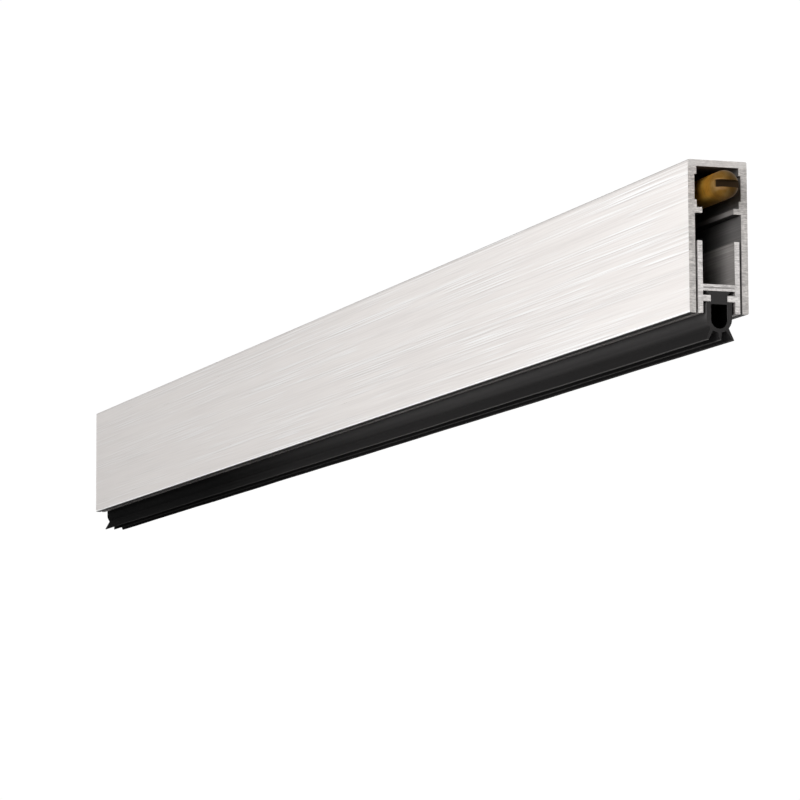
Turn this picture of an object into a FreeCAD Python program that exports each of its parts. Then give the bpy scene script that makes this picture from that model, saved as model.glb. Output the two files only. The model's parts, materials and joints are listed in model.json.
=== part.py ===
import FreeCAD, Part
import math
import os

os.makedirs("parts", exist_ok=True)

# Automatic door bottom seal, in mm. The origin is the middle of the casing's top face.
# X runs along the seal to the plunger's end, Y away from the brushed face, Z up.

# Casing, an extruded channel with a chamber above two ledges
length = 530.0
casing_w = 14.5
casing_h = 35.0
wall_t = 1.55
top_t = 1.5
chamber_h = 9.4
ledge_t = 1.3
ledge_reach = 1.85
rib_t = 0.5
upper_rib_h = 1.8
lower_rib_h = 1.7
edge_r = 0.35

# Carrier, an extruded H with a slot for the seal's head
carrier_play = 0.55
carrier_room = 6.3
leg_t = 1.2
floor_t = 1.5
grip_t = 1.4
grip_reach = 1.9
head_slot_h = 1.0
leg_below_grip = 2.7

# Seal, extruded rubber
seal_play = 0.05
head_inset = 1.15
head_edge_h = 0.2
neck_play = 0.15
bulb_inset = 0.85
bulb_wall = 1.235
bulb_roof = 0.75
hollow_drop = 0.22
bulb_side_h = 3.85
shoulder_r = 0.5
foot_h = 1.7
fin_root_deg = 39.0
fin_root_span_deg = 16.0
fin_lean = 1.45
fin_tip_t = 0.45
rib_root_w = 1.0
rib_tip_w = 0.24

# Play of moving pieces and of moulded pieces pressed into the chamber
slide_play = 0.2
press_play = 0.05
turn_play = 0.05

# Plunger, turned from brass, with a slot for a screwdriver
plunger_d = 6.7
plunger_out = 6.0
plunger_over = 6.0
plunger_flat_d = 0.8
driver_slot_w = 1.7
driver_slot_deep = 1.2
shank_d = 4.0
shank_edge = 0.5
shank_show = 12.0
shank_in = 12.0

# Bush that guides the plunger
bush_inset = 31.0
bush_len = 12.0
boss_d = 4.0

# Push rod, the block that joins it to the plunger, and the nut
rod_d = 3.5
rod_over = 4.0
rod_in = 10.0
block_wall = 2.0
block_chamfer = 0.6
rod_pin_d = 1.5
nut_flats = 7.0
nut_t = 2.2
guide_len = 10.0

# Cams: a slider with an inclined slot between two cheeks with upright slots
frame_gap = 29.0
cross_pin_d = 3.0
pin_play = 0.1
slot_land = 1.8
blade_play = 0.3
cheek_t = 0.8
cheek_foot_w = 8.8
cheek_root_w = 19.0
cheek_clip = 2.0
slider_end = 3.0
stop_gap = 0.5
end_block_len = 8.0

# Return springs
wire_d = 0.7
coil_d = 7.2
spring_turns = 7
spring_room = 22.0
coil_steps = 8
wire_sides = 5

# Brackets that hold the cross pins on the carrier
sheet_t = 0.9
bracket_play = 0.1
ear_play = 0.25
ear_head_gap = 0.5
ear_land = 0.5
ear_w = 12.0
ear_clip = 2.0
bracket_len = 34.0
bend_r = 0.5
cheek_foot_gap = 0.4
rivet_d = 2.5
rivet_head_d = 4.2
rivet_head_h = 0.9
rivet_edge = 3.5

# Countersunk screws through the casing's top, one to each guide frame
screw_d = 2.5
screw_head_d = 4.7
screw_sink_h = 1.1
screw_len = 8.0
screw_wall = 0.3

# Heights
bottom = -casing_h
roof = -top_t
ledge_top = roof - chamber_h
ledge_under = ledge_top - ledge_t
axis_z = roof - chamber_h / 2
leg_top = ledge_under - carrier_room
grip_under = bottom + leg_below_grip
grip_top = grip_under + grip_t
floor_under = grip_top + head_slot_h
floor_top = floor_under + floor_t
base_top = floor_top + sheet_t
cheek_foot = base_top + cheek_foot_gap
ear_top = ledge_under - ear_head_gap
pin_z = ear_top - ear_land - cross_pin_d / 2
pin_slot_r = cross_pin_d / 2 + pin_play
land_r = pin_slot_r + slot_land
seal_drop = pin_z - cheek_foot - land_r
pin_low_z = pin_z - seal_drop

# Half widths
casing_half = casing_w / 2
inner_half = casing_half - wall_t
rib_half = inner_half - rib_t
ledge_gap_half = inner_half - ledge_reach
carrier_half = inner_half - carrier_play
leg_inner_half = carrier_half - leg_t
grip_half = leg_inner_half - grip_reach
ear_outer = leg_inner_half - bracket_play
ear_inner = ear_outer - sheet_t
cheek_outer = ear_inner - ear_play
cheek_inner = cheek_outer - cheek_t
blade_half = cheek_inner - blade_play
screw_y = rod_d / 2 + slide_play + screw_wall + screw_d / 2

# Stations along the length. The plunger is pushed in until it is flush.
push_travel = plunger_out
end_x = length / 2
bush_front = end_x - bush_inset
bush_back = bush_front - bush_len
bush_middle = (bush_front + bush_back) / 2
shoulder_x = bush_back - plunger_over
block_front = shoulder_x - shank_show
block_back = block_front - shank_in - block_wall - rod_in
slider_back = land_r + slider_end
slider_front = push_travel + land_r + slider_end
frame_front = slider_front + stop_gap
frame_back = slider_back + spring_room
cam_near = block_back - frame_gap - end_block_len - frame_front
cam_stations = {"near": cam_near, "far": -cam_near}
rod_far = -cam_near - frame_back - end_block_len - rod_over


def save(name, shape):
    shape.exportStep(f"parts/{name}.step")


def outline(points, place):
    """A face from corner points; a third number in a point rounds that corner."""
    corners = [FreeCAD.Vector(*place(p[0], p[1])) for p in points]
    starts, ends, edges = [], [], []
    for i, corner in enumerate(corners):
        r = points[i][2] if len(points[i]) > 2 else 0
        if not r:
            starts.append(corner)
            ends.append(corner)
            edges.append(None)
            continue
        to_last = (corners[i - 1] - corner).normalize()
        to_next = (corners[(i + 1) % len(corners)] - corner).normalize()
        half = to_last.getAngle(to_next) / 2
        cut = r / math.tan(half)
        middle = (to_last + to_next).normalize()
        starts.append(corner + to_last * cut)
        ends.append(corner + to_next * cut)
        edges.append(Part.Arc(starts[-1], corner + middle * (r / math.sin(half) - r), ends[-1]).toShape())
    wire = []
    for i, end in enumerate(ends):
        if edges[i]:
            wire.append(edges[i])
        wire.append(Part.LineSegment(end, starts[(i + 1) % len(starts)]).toShape())
    return Part.Face(Part.Wire(wire))


def across(points, x_low, x_high):
    """A solid with its outline in Y and Z, drawn out along X."""
    face = outline(points, lambda y, z: (x_low, y, z))
    return face.extrude(FreeCAD.Vector(x_high - x_low, 0, 0))


def upright(points, y_low, y_high):
    """A solid with its outline in X and Z, drawn out along Y."""
    face = outline(points, lambda x, z: (x, y_low, z))
    return face.extrude(FreeCAD.Vector(0, y_high - y_low, 0))


def both_sides(half):
    return half + [(-p[0], *p[1:]) for p in reversed(half)]


def box(x_low, x_high, y_low, y_high, z_low, z_high):
    corner = FreeCAD.Vector(x_low, y_low, z_low)
    return Part.makeBox(x_high - x_low, y_high - y_low, z_high - z_low, corner)


def rod_x(d, x_low, x_high, y=0.0, z=axis_z):
    return Part.makeCylinder(d / 2, x_high - x_low, FreeCAD.Vector(x_low, y, z), FreeCAD.Vector(1, 0, 0))


def rod_y(d, y_low, y_high, x, z):
    return Part.makeCylinder(d / 2, y_high - y_low, FreeCAD.Vector(x, y_low, z), FreeCAD.Vector(0, 1, 0))


def rod_z(d, z_low, z_high, x, y):
    return Part.makeCylinder(d / 2, z_high - z_low, FreeCAD.Vector(x, y, z_low))


def slot_y(d, y_low, y_high, x_a, z_a, x_b, z_b):
    """A slot through Y between two centres."""
    run = FreeCAD.Vector(x_b - x_a, 0, z_b - z_a)
    side = FreeCAD.Vector(-run.z, 0, run.x).normalize() * (d / 2)
    a = FreeCAD.Vector(x_a, y_low, z_a)
    b = FreeCAD.Vector(x_b, y_low, z_b)
    straight = Part.Face(Part.makePolygon([a + side, b + side, b - side, a - side, a + side]))
    body = straight.extrude(FreeCAD.Vector(0, y_high - y_low, 0))
    return body.fuse([rod_y(d, y_low, y_high, x_a, z_a), rod_y(d, y_low, y_high, x_b, z_b)]).removeSplitter()


def chamber_block(x_low, x_high, play, chamfer=0.0):
    """A block that follows the chamber's ribs and recess, with play all round."""
    rib_y = rib_half - play
    recess_y = inner_half - play
    upper_z = roof - upper_rib_h - play
    lower_z = ledge_top + lower_rib_h + play
    half = [(rib_y, roof - play), (rib_y, upper_z), (recess_y, upper_z),
            (recess_y, lower_z), (rib_y, lower_z), (rib_y, ledge_top + play)]
    block = across(both_sides(half), x_low, x_high)
    if chamfer:
        leads = [e for e in block.Edges if e.BoundBox.YLength > 2 * rib_y - chamfer]
        block = block.makeChamfer(chamfer, leads)
    return block


def screw_stations():
    """The middle of the end block that each guide frame's spring pushes on."""
    return [cam_x - frame_back - end_block_len / 2 for cam_x in cam_stations.values()]


def frame_screw(x):
    """A screw beside the rod, its coned head flush with the casing's top."""
    head = Part.makeCone(screw_d / 2, screw_head_d / 2, screw_sink_h,
                         FreeCAD.Vector(x, screw_y, -screw_sink_h))
    return rod_z(screw_d, -screw_len, -screw_sink_h, x, screw_y).fuse(head)


def casing():
    half = [(casing_half, 0, edge_r), (casing_half, bottom, edge_r), (inner_half, bottom),
            (inner_half, ledge_under), (ledge_gap_half, ledge_under), (ledge_gap_half, ledge_top),
            (rib_half, ledge_top), (rib_half, ledge_top + lower_rib_h),
            (inner_half, ledge_top + lower_rib_h), (inner_half, roof - upper_rib_h),
            (rib_half, roof - upper_rib_h), (rib_half, roof)]
    shape = across(both_sides(half), -end_x, end_x)
    holes = [frame_screw(x) for x in screw_stations()]
    holes.append(rod_z(boss_d, roof, 0, bush_middle, 0))
    return shape.cut(holes)


def carrier():
    half = [(leg_inner_half, floor_top), (leg_inner_half, leg_top), (carrier_half, leg_top),
            (carrier_half, bottom), (leg_inner_half, bottom),
            (leg_inner_half, grip_under), (grip_half, grip_under), (grip_half, grip_top),
            (leg_inner_half, grip_top), (leg_inner_half, floor_under)]
    shape = across(both_sides(half), -end_x, end_x)
    return shape.cut([rod_z(rivet_d, floor_under, floor_top, x, 0) for x in rivet_stations()])


def seal():
    head_half = leg_inner_half - head_inset
    neck_half = grip_half - neck_play
    bulb_half = leg_inner_half - bulb_inset
    head_top = floor_under - seal_play
    head_under = grip_top + seal_play
    shoulder = grip_under - seal_play
    centre_z = shoulder - bulb_side_h
    tip_z = centre_z - bulb_half - foot_h

    def on_bulb(degrees):
        a = math.radians(degrees)
        return bulb_half * math.sin(a), centre_z - bulb_half * math.cos(a)

    def point(y, z):
        return FreeCAD.Vector(-end_x, y, z)

    def side(sign):
        """Half of the bulb and its feet, as arcs and lines."""
        outer = fin_root_deg + fin_root_span_deg / 2
        inner = fin_root_deg - fin_root_span_deg / 2
        rib_deg = math.degrees(math.asin(rib_root_w / 2 / bulb_half))
        fin_y = on_bulb(fin_root_deg)[0] + fin_lean
        stops = [on_bulb(90), on_bulb(outer), (fin_y + fin_tip_t / 2, tip_z), (fin_y - fin_tip_t / 2, tip_z),
                 on_bulb(inner), on_bulb(rib_deg), (rib_tip_w / 2, tip_z)]
        turns = {0: (90 + outer) / 2, 4: (inner + rib_deg) / 2}
        edges = []
        for i in range(len(stops) - 1):
            a = point(sign * stops[i][0], stops[i][1])
            b = point(sign * stops[i + 1][0], stops[i + 1][1])
            if i in turns:
                y, z = on_bulb(turns[i])
                edges.append(Part.Arc(a, point(sign * y, z), b).toShape())
            else:
                edges.append(Part.LineSegment(a, b).toShape())
        return edges

    head = [(bulb_half, centre_z), (bulb_half, shoulder, shoulder_r), (neck_half, shoulder),
            (neck_half, head_under), (head_half, head_top - head_edge_h), (head_half, head_top)]
    top = across(both_sides(head), -end_x, end_x)
    feet = Part.Wire(Part.__sortEdges__(side(1) + side(-1) + [
        Part.LineSegment(point(-rib_tip_w / 2, tip_z), point(rib_tip_w / 2, tip_z)).toShape(),
        Part.LineSegment(point(-bulb_half, centre_z), point(bulb_half, centre_z)).toShape()]))
    bulb = Part.Face(feet).extrude(FreeCAD.Vector(length, 0, 0))
    hollow_half = bulb_half - bulb_wall
    hollow_top = shoulder - bulb_roof
    hollow_z = centre_z - hollow_drop
    hollow = box(-end_x, end_x, -hollow_half, hollow_half, hollow_z, hollow_top)
    hollow = hollow.fuse(rod_x(2 * hollow_half, -end_x, end_x, 0, hollow_z))
    return top.fuse(bulb).cut(hollow).removeSplitter()


def turned(radii):
    """A turned piece about the chamber's axis, from stations along X and their radii."""
    points = [FreeCAD.Vector(x, 0, axis_z + r) for x, r in [(radii[0][0], 0)] + radii + [(radii[-1][0], 0)]]
    face = Part.Face(Part.makePolygon(points + points[:1]))
    return face.revolve(FreeCAD.Vector(0, 0, axis_z), FreeCAD.Vector(1, 0, 0), 360)


def plunger():
    tip_x = end_x + plunger_out
    shank_x = block_front - shank_in
    r = plunger_d / 2
    shank_r = shank_d / 2 - turn_play
    shape = turned([(shank_x, shank_r - shank_edge), (shank_x + shank_edge, shank_r), (shoulder_x, shank_r),
                    (shoulder_x, r), (tip_x, r)])
    rim = [e for e in shape.Edges if e.BoundBox.XMin > tip_x - turn_play]
    shape = shape.makeFillet(r - plunger_flat_d / 2, rim)
    slot = box(tip_x - driver_slot_deep, tip_x, -plunger_d, plunger_d,
               axis_z - driver_slot_w / 2, axis_z + driver_slot_w / 2)
    return shape.cut(slot)


def bush():
    shape = chamber_block(bush_back, bush_front, press_play)
    shape = shape.fuse(rod_z(boss_d, roof - press_play, 0, bush_middle, 0))
    return shape.cut(rod_x(plunger_d + 2 * turn_play, bush_back, bush_front))


def rod_guide():
    shape = chamber_block(-guide_len / 2, guide_len / 2, press_play)
    return shape.cut(rod_x(rod_d + 2 * slide_play, -guide_len / 2, guide_len / 2))


def rod_pin_stations():
    slider_middle = (slider_front - slider_back) / 2
    return [block_back + rod_in / 2] + [x + slider_middle for x in cam_stations.values()]


def rod_pin_length():
    return 2 * (inner_half - slide_play)


def rod_pins():
    half = rod_pin_length() / 2
    return Part.makeCompound([rod_y(rod_pin_d, -half, half, x, axis_z) for x in rod_pin_stations()])


def pin_holes():
    return [rod_y(rod_pin_d, -casing_half, casing_half, x, axis_z) for x in rod_pin_stations()]


def drive_block():
    shape = chamber_block(block_back, block_front, slide_play, block_chamfer)
    threaded = rod_x(shank_d, block_front - shank_in - 1, block_front)
    socket = rod_x(rod_d, block_back, block_back + rod_in)
    return shape.cut([threaded, socket] + pin_holes())


def lock_nut():
    corner_r = nut_flats / math.sqrt(3)
    corners = [(corner_r * math.cos(math.radians(60 * i)), axis_z + corner_r * math.sin(math.radians(60 * i)))
               for i in range(6)]
    face_x = block_front + nut_t
    rim_t = (corner_r - nut_flats / 2) * math.tan(math.radians(30))
    bar = turned([(block_front, corner_r), (face_x - rim_t, corner_r), (face_x, nut_flats / 2)])
    return across(corners, block_front, face_x).common(bar).cut(rod_x(shank_d, block_front, face_x))


def push_rod():
    return rod_x(rod_d, rod_far, block_back + rod_in).cut(pin_holes())


def guide_frame(cam_x):
    front = cam_x + frame_front
    back = cam_x - frame_back
    tongue_y = ledge_gap_half - press_play
    shape = chamber_block(front, front + end_block_len, press_play)
    shape = shape.fuse(chamber_block(back - end_block_len, back, press_play))
    ends = [box(x, x + end_block_len, -tongue_y, tongue_y, ledge_under, ledge_top + press_play)
            for x in (front, back - end_block_len)]
    rails = [box(back, front, min(y), max(y), ledge_under, ledge_top)
             for y in ((cheek_inner, tongue_y), (-cheek_inner, -tongue_y))]
    foot = cheek_foot_w / 2
    root = cheek_root_w / 2
    sheet = [(cam_x - root, ledge_under), (cam_x - foot, pin_z), (cam_x - foot, cheek_foot + cheek_clip),
             (cam_x - foot + cheek_clip, cheek_foot), (cam_x + foot - cheek_clip, cheek_foot),
             (cam_x + foot, cheek_foot + cheek_clip), (cam_x + foot, pin_z), (cam_x + root, ledge_under)]
    cheeks = [upright(sheet, min(y), max(y))
              for y in ((cheek_inner, cheek_outer), (-cheek_inner, -cheek_outer))]
    shape = shape.fuse(ends + rails + cheeks).removeSplitter()
    slot = slot_y(2 * pin_slot_r, -cheek_outer, cheek_outer, cam_x, pin_z, cam_x, pin_low_z)
    bore = rod_x(rod_d + 2 * slide_play, back - end_block_len, front + end_block_len)
    return shape.cut([slot, bore] + [frame_screw(x) for x in screw_stations()])


def cam_slider(cam_x):
    foot_x = cam_x + push_travel
    block = chamber_block(cam_x - slider_back, cam_x + slider_front, slide_play, block_chamfer)
    web = upright([(cam_x - land_r, ledge_top + 2 * slide_play), (cam_x - land_r, pin_z), (cam_x, pin_z),
                   (foot_x, pin_low_z), (foot_x + land_r, pin_low_z),
                   (foot_x + land_r, ledge_top + 2 * slide_play)], -blade_half, blade_half)
    rim = slot_y(2 * land_r, -blade_half, blade_half, cam_x, pin_z, foot_x, pin_low_z)
    slot = slot_y(2 * pin_slot_r, -blade_half, blade_half, cam_x, pin_z, foot_x, pin_low_z)
    bore = rod_x(rod_d, cam_x - slider_back, cam_x + slider_front)
    return block.fuse([web, rim]).removeSplitter().cut([slot, bore] + pin_holes())


def return_spring(cam_x):
    """A coil between the frame's end block and the slider, lofted through rings of its wire."""
    low = cam_x - frame_back + wire_d / 2
    high = cam_x - slider_back - wire_d / 2
    mean_r = (coil_d - wire_d) / 2
    rings = []
    for i in range(spring_turns * coil_steps + 1):
        x = low + (high - low) * i / (spring_turns * coil_steps)
        a = 2 * math.pi * i / coil_steps
        ring = []
        for k in range(wire_sides):
            b = 2 * math.pi * k / wire_sides
            r = mean_r + wire_d / 2 * math.cos(b)
            ring.append(FreeCAD.Vector(x + wire_d / 2 * math.sin(b), r * math.cos(a), axis_z + r * math.sin(a)))
        rings.append(Part.makePolygon(ring + ring[:1]))
    return Part.makeLoft(rings, True, True)


def cross_pin(cam_x):
    return rod_y(cross_pin_d, -ear_outer, ear_outer, cam_x, pin_z)


def rivet_stations():
    reach = bracket_len / 2 - rivet_edge
    return [x + offset for x in cam_stations.values() for offset in (-reach, reach)]


def bracket_rivets():
    """Rivets with a low head on the bracket, flush under the carrier's floor."""
    rivets = []
    for x in rivet_stations():
        head = rod_z(rivet_head_d, base_top, base_top + rivet_head_h, x, 0)
        rivets.append(rod_z(rivet_d, floor_under, base_top, x, 0).fuse(head))
    return Part.makeCompound(rivets)


def pin_bracket(cam_x):
    """A folded channel on the carrier's floor, cut down to two clipped ears in its middle."""
    low = cam_x - bracket_len / 2
    high = cam_x + bracket_len / 2
    outer_r = bend_r + sheet_t
    fold = [(ear_outer, ear_top), (ear_outer, floor_top, outer_r), (-ear_outer, floor_top, outer_r),
            (-ear_outer, ear_top), (-ear_inner, ear_top), (-ear_inner, base_top, bend_r),
            (ear_inner, base_top, bend_r), (ear_inner, ear_top)]
    rim_z = base_top + bend_r + sheet_t
    ear_half = ear_w / 2
    side = upright([(low, floor_top), (high, floor_top), (high, rim_z), (cam_x + ear_half, rim_z),
                    (cam_x + ear_half, ear_top - ear_clip), (cam_x + ear_half - ear_clip, ear_top),
                    (cam_x - ear_half + ear_clip, ear_top), (cam_x - ear_half, ear_top - ear_clip),
                    (cam_x - ear_half, rim_z), (low, rim_z)], -ear_outer, ear_outer)
    holes = [rod_z(rivet_d, floor_top, base_top, x, 0) for x in rivet_stations()]
    holes.append(rod_y(cross_pin_d, -ear_outer, ear_outer, cam_x, pin_z))
    return across(fold, low, high).common(side).cut(holes)


def frame_screws():
    return Part.makeCompound([frame_screw(x) for x in screw_stations()])


save("casing", casing())
save("carrier", carrier())
save("seal", seal())
save("plunger", plunger())
save("plunger_bush", bush())
save("rod_guide", rod_guide())
save("drive_block", drive_block())
save("lock_nut", lock_nut())
save("push_rod", push_rod())
save("rod_pins", rod_pins())
save("bracket_rivets", bracket_rivets())
save("frame_screws", frame_screws())
for place, cam_x in cam_stations.items():
    save(f"guide_frame_{place}", guide_frame(cam_x))
    save(f"cam_slider_{place}", cam_slider(cam_x))
    save(f"return_spring_{place}", return_spring(cam_x))
    save(f"cross_pin_{place}", cross_pin(cam_x))
    save(f"pin_bracket_{place}", pin_bracket(cam_x))
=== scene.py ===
import json
import math

import bmesh
import bpy
from mathutils import Matrix, Vector
from mathutils.geometry import tessellate_polygon


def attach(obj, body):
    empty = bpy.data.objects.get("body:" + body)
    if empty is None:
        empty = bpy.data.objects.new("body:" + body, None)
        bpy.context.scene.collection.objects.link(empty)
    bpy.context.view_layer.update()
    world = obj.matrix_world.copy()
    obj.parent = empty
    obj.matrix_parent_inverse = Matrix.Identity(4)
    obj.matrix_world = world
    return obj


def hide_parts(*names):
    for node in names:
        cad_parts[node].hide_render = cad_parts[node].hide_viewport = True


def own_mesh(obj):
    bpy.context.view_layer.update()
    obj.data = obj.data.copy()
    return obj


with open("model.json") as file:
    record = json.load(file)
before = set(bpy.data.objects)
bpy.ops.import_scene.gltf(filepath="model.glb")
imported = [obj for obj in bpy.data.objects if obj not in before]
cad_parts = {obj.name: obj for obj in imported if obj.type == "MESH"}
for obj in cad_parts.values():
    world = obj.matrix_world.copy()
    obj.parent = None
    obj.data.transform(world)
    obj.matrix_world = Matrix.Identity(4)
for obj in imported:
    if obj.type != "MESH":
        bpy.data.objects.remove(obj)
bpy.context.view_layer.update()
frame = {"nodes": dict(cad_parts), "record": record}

mm = 0.001
axisZ = -6.2  # height of the plunger's and the rod's line, below the casing's top
halfLength = 265.0
bottom = -35.0  # lower edge of the casing, and of the carrier at rest
shiftBy = (1.0, 1.7, 0.6)  # how far a noise's shift goes along x, y and z
print("frame loaded,", len(frame["nodes"]), "nodes")


def linear(*screen):
    # a colour as it looks on screen, 0 to 255, as a shader wants it
    return tuple(c / 255 / 12.92 if c < 10.3 else ((c / 255 + 0.055) / 1.055) ** 2.4 for c in screen)


class Value:
    # one output of a node; sums on it add Math nodes to its tree
    def __init__(self, tree, socket):
        self.tree, self.socket = tree, socket

    def maths(self, operation, *others):
        return self.tree.node("ShaderNodeMath", {"operation": operation}, dict(enumerate((self,) + others)))

    def __add__(self, other):
        return self.maths("ADD", other)

    def __sub__(self, other):
        return self.maths("SUBTRACT", other)

    def __mul__(self, other):
        return self.maths("MULTIPLY", other)

    def __truediv__(self, other):
        return self.maths("DIVIDE", other)

    def __rsub__(self, other):
        return self.tree.node("ShaderNodeMath", {"operation": "SUBTRACT"}, {0: other, 1: self})

    def __abs__(self):
        return self.maths("ABSOLUTE")

    __radd__ = __add__
    __rmul__ = __mul__


def distance(across, up):
    return (across * across + up * up).maths("SQRT")


class Tree:
    # a node tree that is written as calls
    def __init__(self, nodeTree):
        self.nodes, self.links = nodeTree.nodes, nodeTree.links

    def put(self, socket, value):
        if isinstance(value, Value):
            self.links.new(value.socket, socket)
        elif socket.type == "RGBA" and len(value) == 3:
            socket.default_value = (*value, 1.0)
        else:
            socket.default_value = value

    def node(self, kind, settings=None, values=None, result=0):
        made = self.nodes.new(kind)
        for name, setting in (settings or {}).items():
            if name == "stops":
                ramp = made.color_ramp.elements
                for i, (place, colour) in enumerate(setting):
                    stop = ramp[i] if i < 2 else ramp.new(place)
                    stop.position, stop.color = place, (*colour, 1.0)
            else:
                setattr(made, name, setting)
        for key, value in (values or {}).items():
            self.put(made.inputs[key], value)
        return Value(self, made.outputs[result]) if made.outputs else made

    def split(self, vector):
        # its x, y and z
        made = self.node("ShaderNodeSeparateXYZ", None, {0: vector}).socket.node
        return [Value(self, part) for part in made.outputs]

    def combine(self, x, y, z):
        return self.node("ShaderNodeCombineXYZ", None, {0: x, 1: y, 2: z})

    def ease(self, value, span, base=0.0, results=(0.0, 1.0), kind="SMOOTHSTEP"):
        # from one result to the other while the value crosses a span, whose two ends count from the base
        return self.node("ShaderNodeMapRange", {"interpolation_type": kind}, {
            "Value": value, "From Min": base + span[0], "From Max": base + span[1],
            "To Min": results[0], "To Max": results[1]})


class Finish(Tree):
    # one material, with the tools that all the finishes share
    def __init__(self, name):
        self.material = bpy.data.materials.new(name)
        self.material.use_nodes = True
        super().__init__(self.material.node_tree)
        self.nodes.clear()
        self.shader = self.nodes.new("ShaderNodeBsdfPrincipled")
        self.output = self.nodes.new("ShaderNodeOutputMaterial")
        self.links.new(self.shader.outputs[0], self.output.inputs[0])
        self.coords = self.node("ShaderNodeTexCoord", result="Object")

    def place(self):
        # x, y and z on the piece, in millimetres
        return [part * (1 / mm) for part in self.split(self.coords)]

    def grain(self, size, detail, rough, shift, at=None):
        # soft noise whose marks have this size along x, y and z, in millimetres
        scale = [1 / (s * mm) for s in size]
        moved = self.node("ShaderNodeMapping", None, {
            "Vector": at or self.coords, "Scale": scale, "Location": tuple(shift * by for by in shiftBy)})
        return self.node("ShaderNodeTexNoise", None, {
            "Vector": moved, "Scale": 1.0, "Detail": detail, "Roughness": rough})

    def ramp(self, value, stops):
        return self.node("ShaderNodeValToRGB", {"stops": stops}, {0: value})

    def mix(self, mask, first, second):
        return self.node("ShaderNodeMix", {"data_type": "RGBA"}, {0: mask, 6: first, 7: second}, 2)

    def bump(self, height, depth, strength):
        return self.node("ShaderNodeBump", None, {"Height": height, "Distance": depth * mm, "Strength": strength})

    def dress(self, values):
        for name, value in values.items():
            self.put(self.shader.inputs[name], value)
        return self.material


# finishes: a grain is the size of its marks, their detail and roughness, and a shift that sets it apart;
# a span is where a mask starts and where it is full; a share is how strong it is; lengths are in millimetres

endSpan = (-0.06, -0.02)  # at the edge of an extrusion's cut end, from halfLength
underSpan = (0.12, 0.03)  # at its lower edge, from bottom

sawMarks = {"marks": ((9.0, 1.7, 0.24), 2.0, 0.65, 3.1), "specks": ((0.8, 0.7, 0.5), 2.0, 0.6, 8.4),
            "markShare": 0.7, "depth": 2.0}
dieMarks = {"lines": ((260.0, 0.32, 0.32), 2.0, 0.6), "patches": ((45.0, 5.0, 5.0), 3.0, 0.6), "apart": 2.0}


def sawnEnds(finish, stops):
    # short saw marks across a cut end, broken up along their length
    marks, specks = finish.grain(*sawMarks["marks"]), finish.grain(*sawMarks["specks"])
    tone = marks * sawMarks["markShare"] + specks * (1 - sawMarks["markShare"])
    return finish.ramp(tone, stops), marks * sawMarks["depth"]


def millLines(finish, stops, shift):
    # die lines that run the whole length of an extrusion, with dull patches
    lines = finish.grain(*dieMarks["lines"], shift)
    patches = finish.grain(*dieMarks["patches"], shift + dieMarks["apart"])
    return finish.ramp((lines + patches) * 0.5, stops), lines


casingLook = {
    "brushed": ((0.32, linear(226, 221, 218)), (0.5, linear(236, 231, 228)), (0.68, linear(243, 239, 236))),
    # mill finish; its darkness is partly painted shade
    "mill": ((0.34, linear(90, 88, 88)), (0.5, linear(103, 101, 100)), (0.66, linear(118, 115, 114))),
    "sawn": ((0.32, linear(142, 139, 137)), (0.5, linear(182, 178, 175)), (0.66, linear(214, 210, 206))),
    "hairLight": linear(255, 255, 255), "hairDark": linear(196, 191, 188), "sawnTop": linear(222, 219, 216),
    "chamber": linear(44, 43, 44), "ledge": linear(178, 174, 172), "shadeAndGrime": linear(16, 15, 15),
    "undersideShade": linear(42, 40, 39),
    "innerHalf": 5.7, "innerSpan": (0.12, 0.04), "roof": -1.5, "roofSpan": (0.1, 0.02),
    "fine": ((30.0, 0.2, 0.2), 1.0, 0.5, 5.0), "broad": ((150.0, 3.0, 3.0), 1.0, 0.5, 9.0), "fineShare": 0.6,
    "farToNear": (-265.0, 240.0), "farMarks": 0.45,  # the brushing is fainter towards the far end
    "hairZones": ((70.0, 3.5, 3.5), 2.0, 0.6, 21.0), "zoneSpan": (0.4, 0.58),
    "longHairs": ((90.0, 0.2, 0.2), 0.0, 0.5, 13.0), "longSpan": (0.61, 0.68),
    "shortHairs": ((45.0, 0.17, 0.17), 0.0, 0.5, 29.0), "shortSpan": (0.63, 0.72),
    "hairShare": 0.9, "shadeShare": 0.4, "shadeDrop": 0.38,  # each bright hair has a dark one below it
    "scores": ((40.0, 0.24, 0.24), 0.0, 0.5, 37.0), "scoreSpan": (0.38, 0.28), "scoreShare": 0.2,
    "topShadeLine": -0.55, "topLineSpan": (0.3, 0.1), "topLineShare": 0.5, "rimSpan": (0.55, 0.3),
    "millShift": 4.0, "ledgeTop": -10.9, "ledgeTopSpan": (-0.05, -0.15), "ledgeUnder": -12.2,
    "ledgeUnderSpan": (0.05, 0.15), "ledgeShare": 0.45, "cornerSpan": (0.2, 0.02), "cornerShare": 0.85,
    "chamberSpan": (-8.6, -6.4), "chamberShare": 0.85, "mouthSpan": (257.0, 263.0), "mouthShare": 0.45,
    "depthSpan": (262.0, 240.0), "depthShare": 0.28, "sawnTopSpan": (-0.05, 0.1), "sawnTopShare": 0.45,
    "rough": 0.26, "fineRough": 0.08, "millRough": 0.2, "sawnRough": 0.22,
    "metallic": 0.9, "sawnDull": 0.3, "millDull": 0.5, "rimDull": 0.5, "bump": (0.012, 0.3),
}


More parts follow.
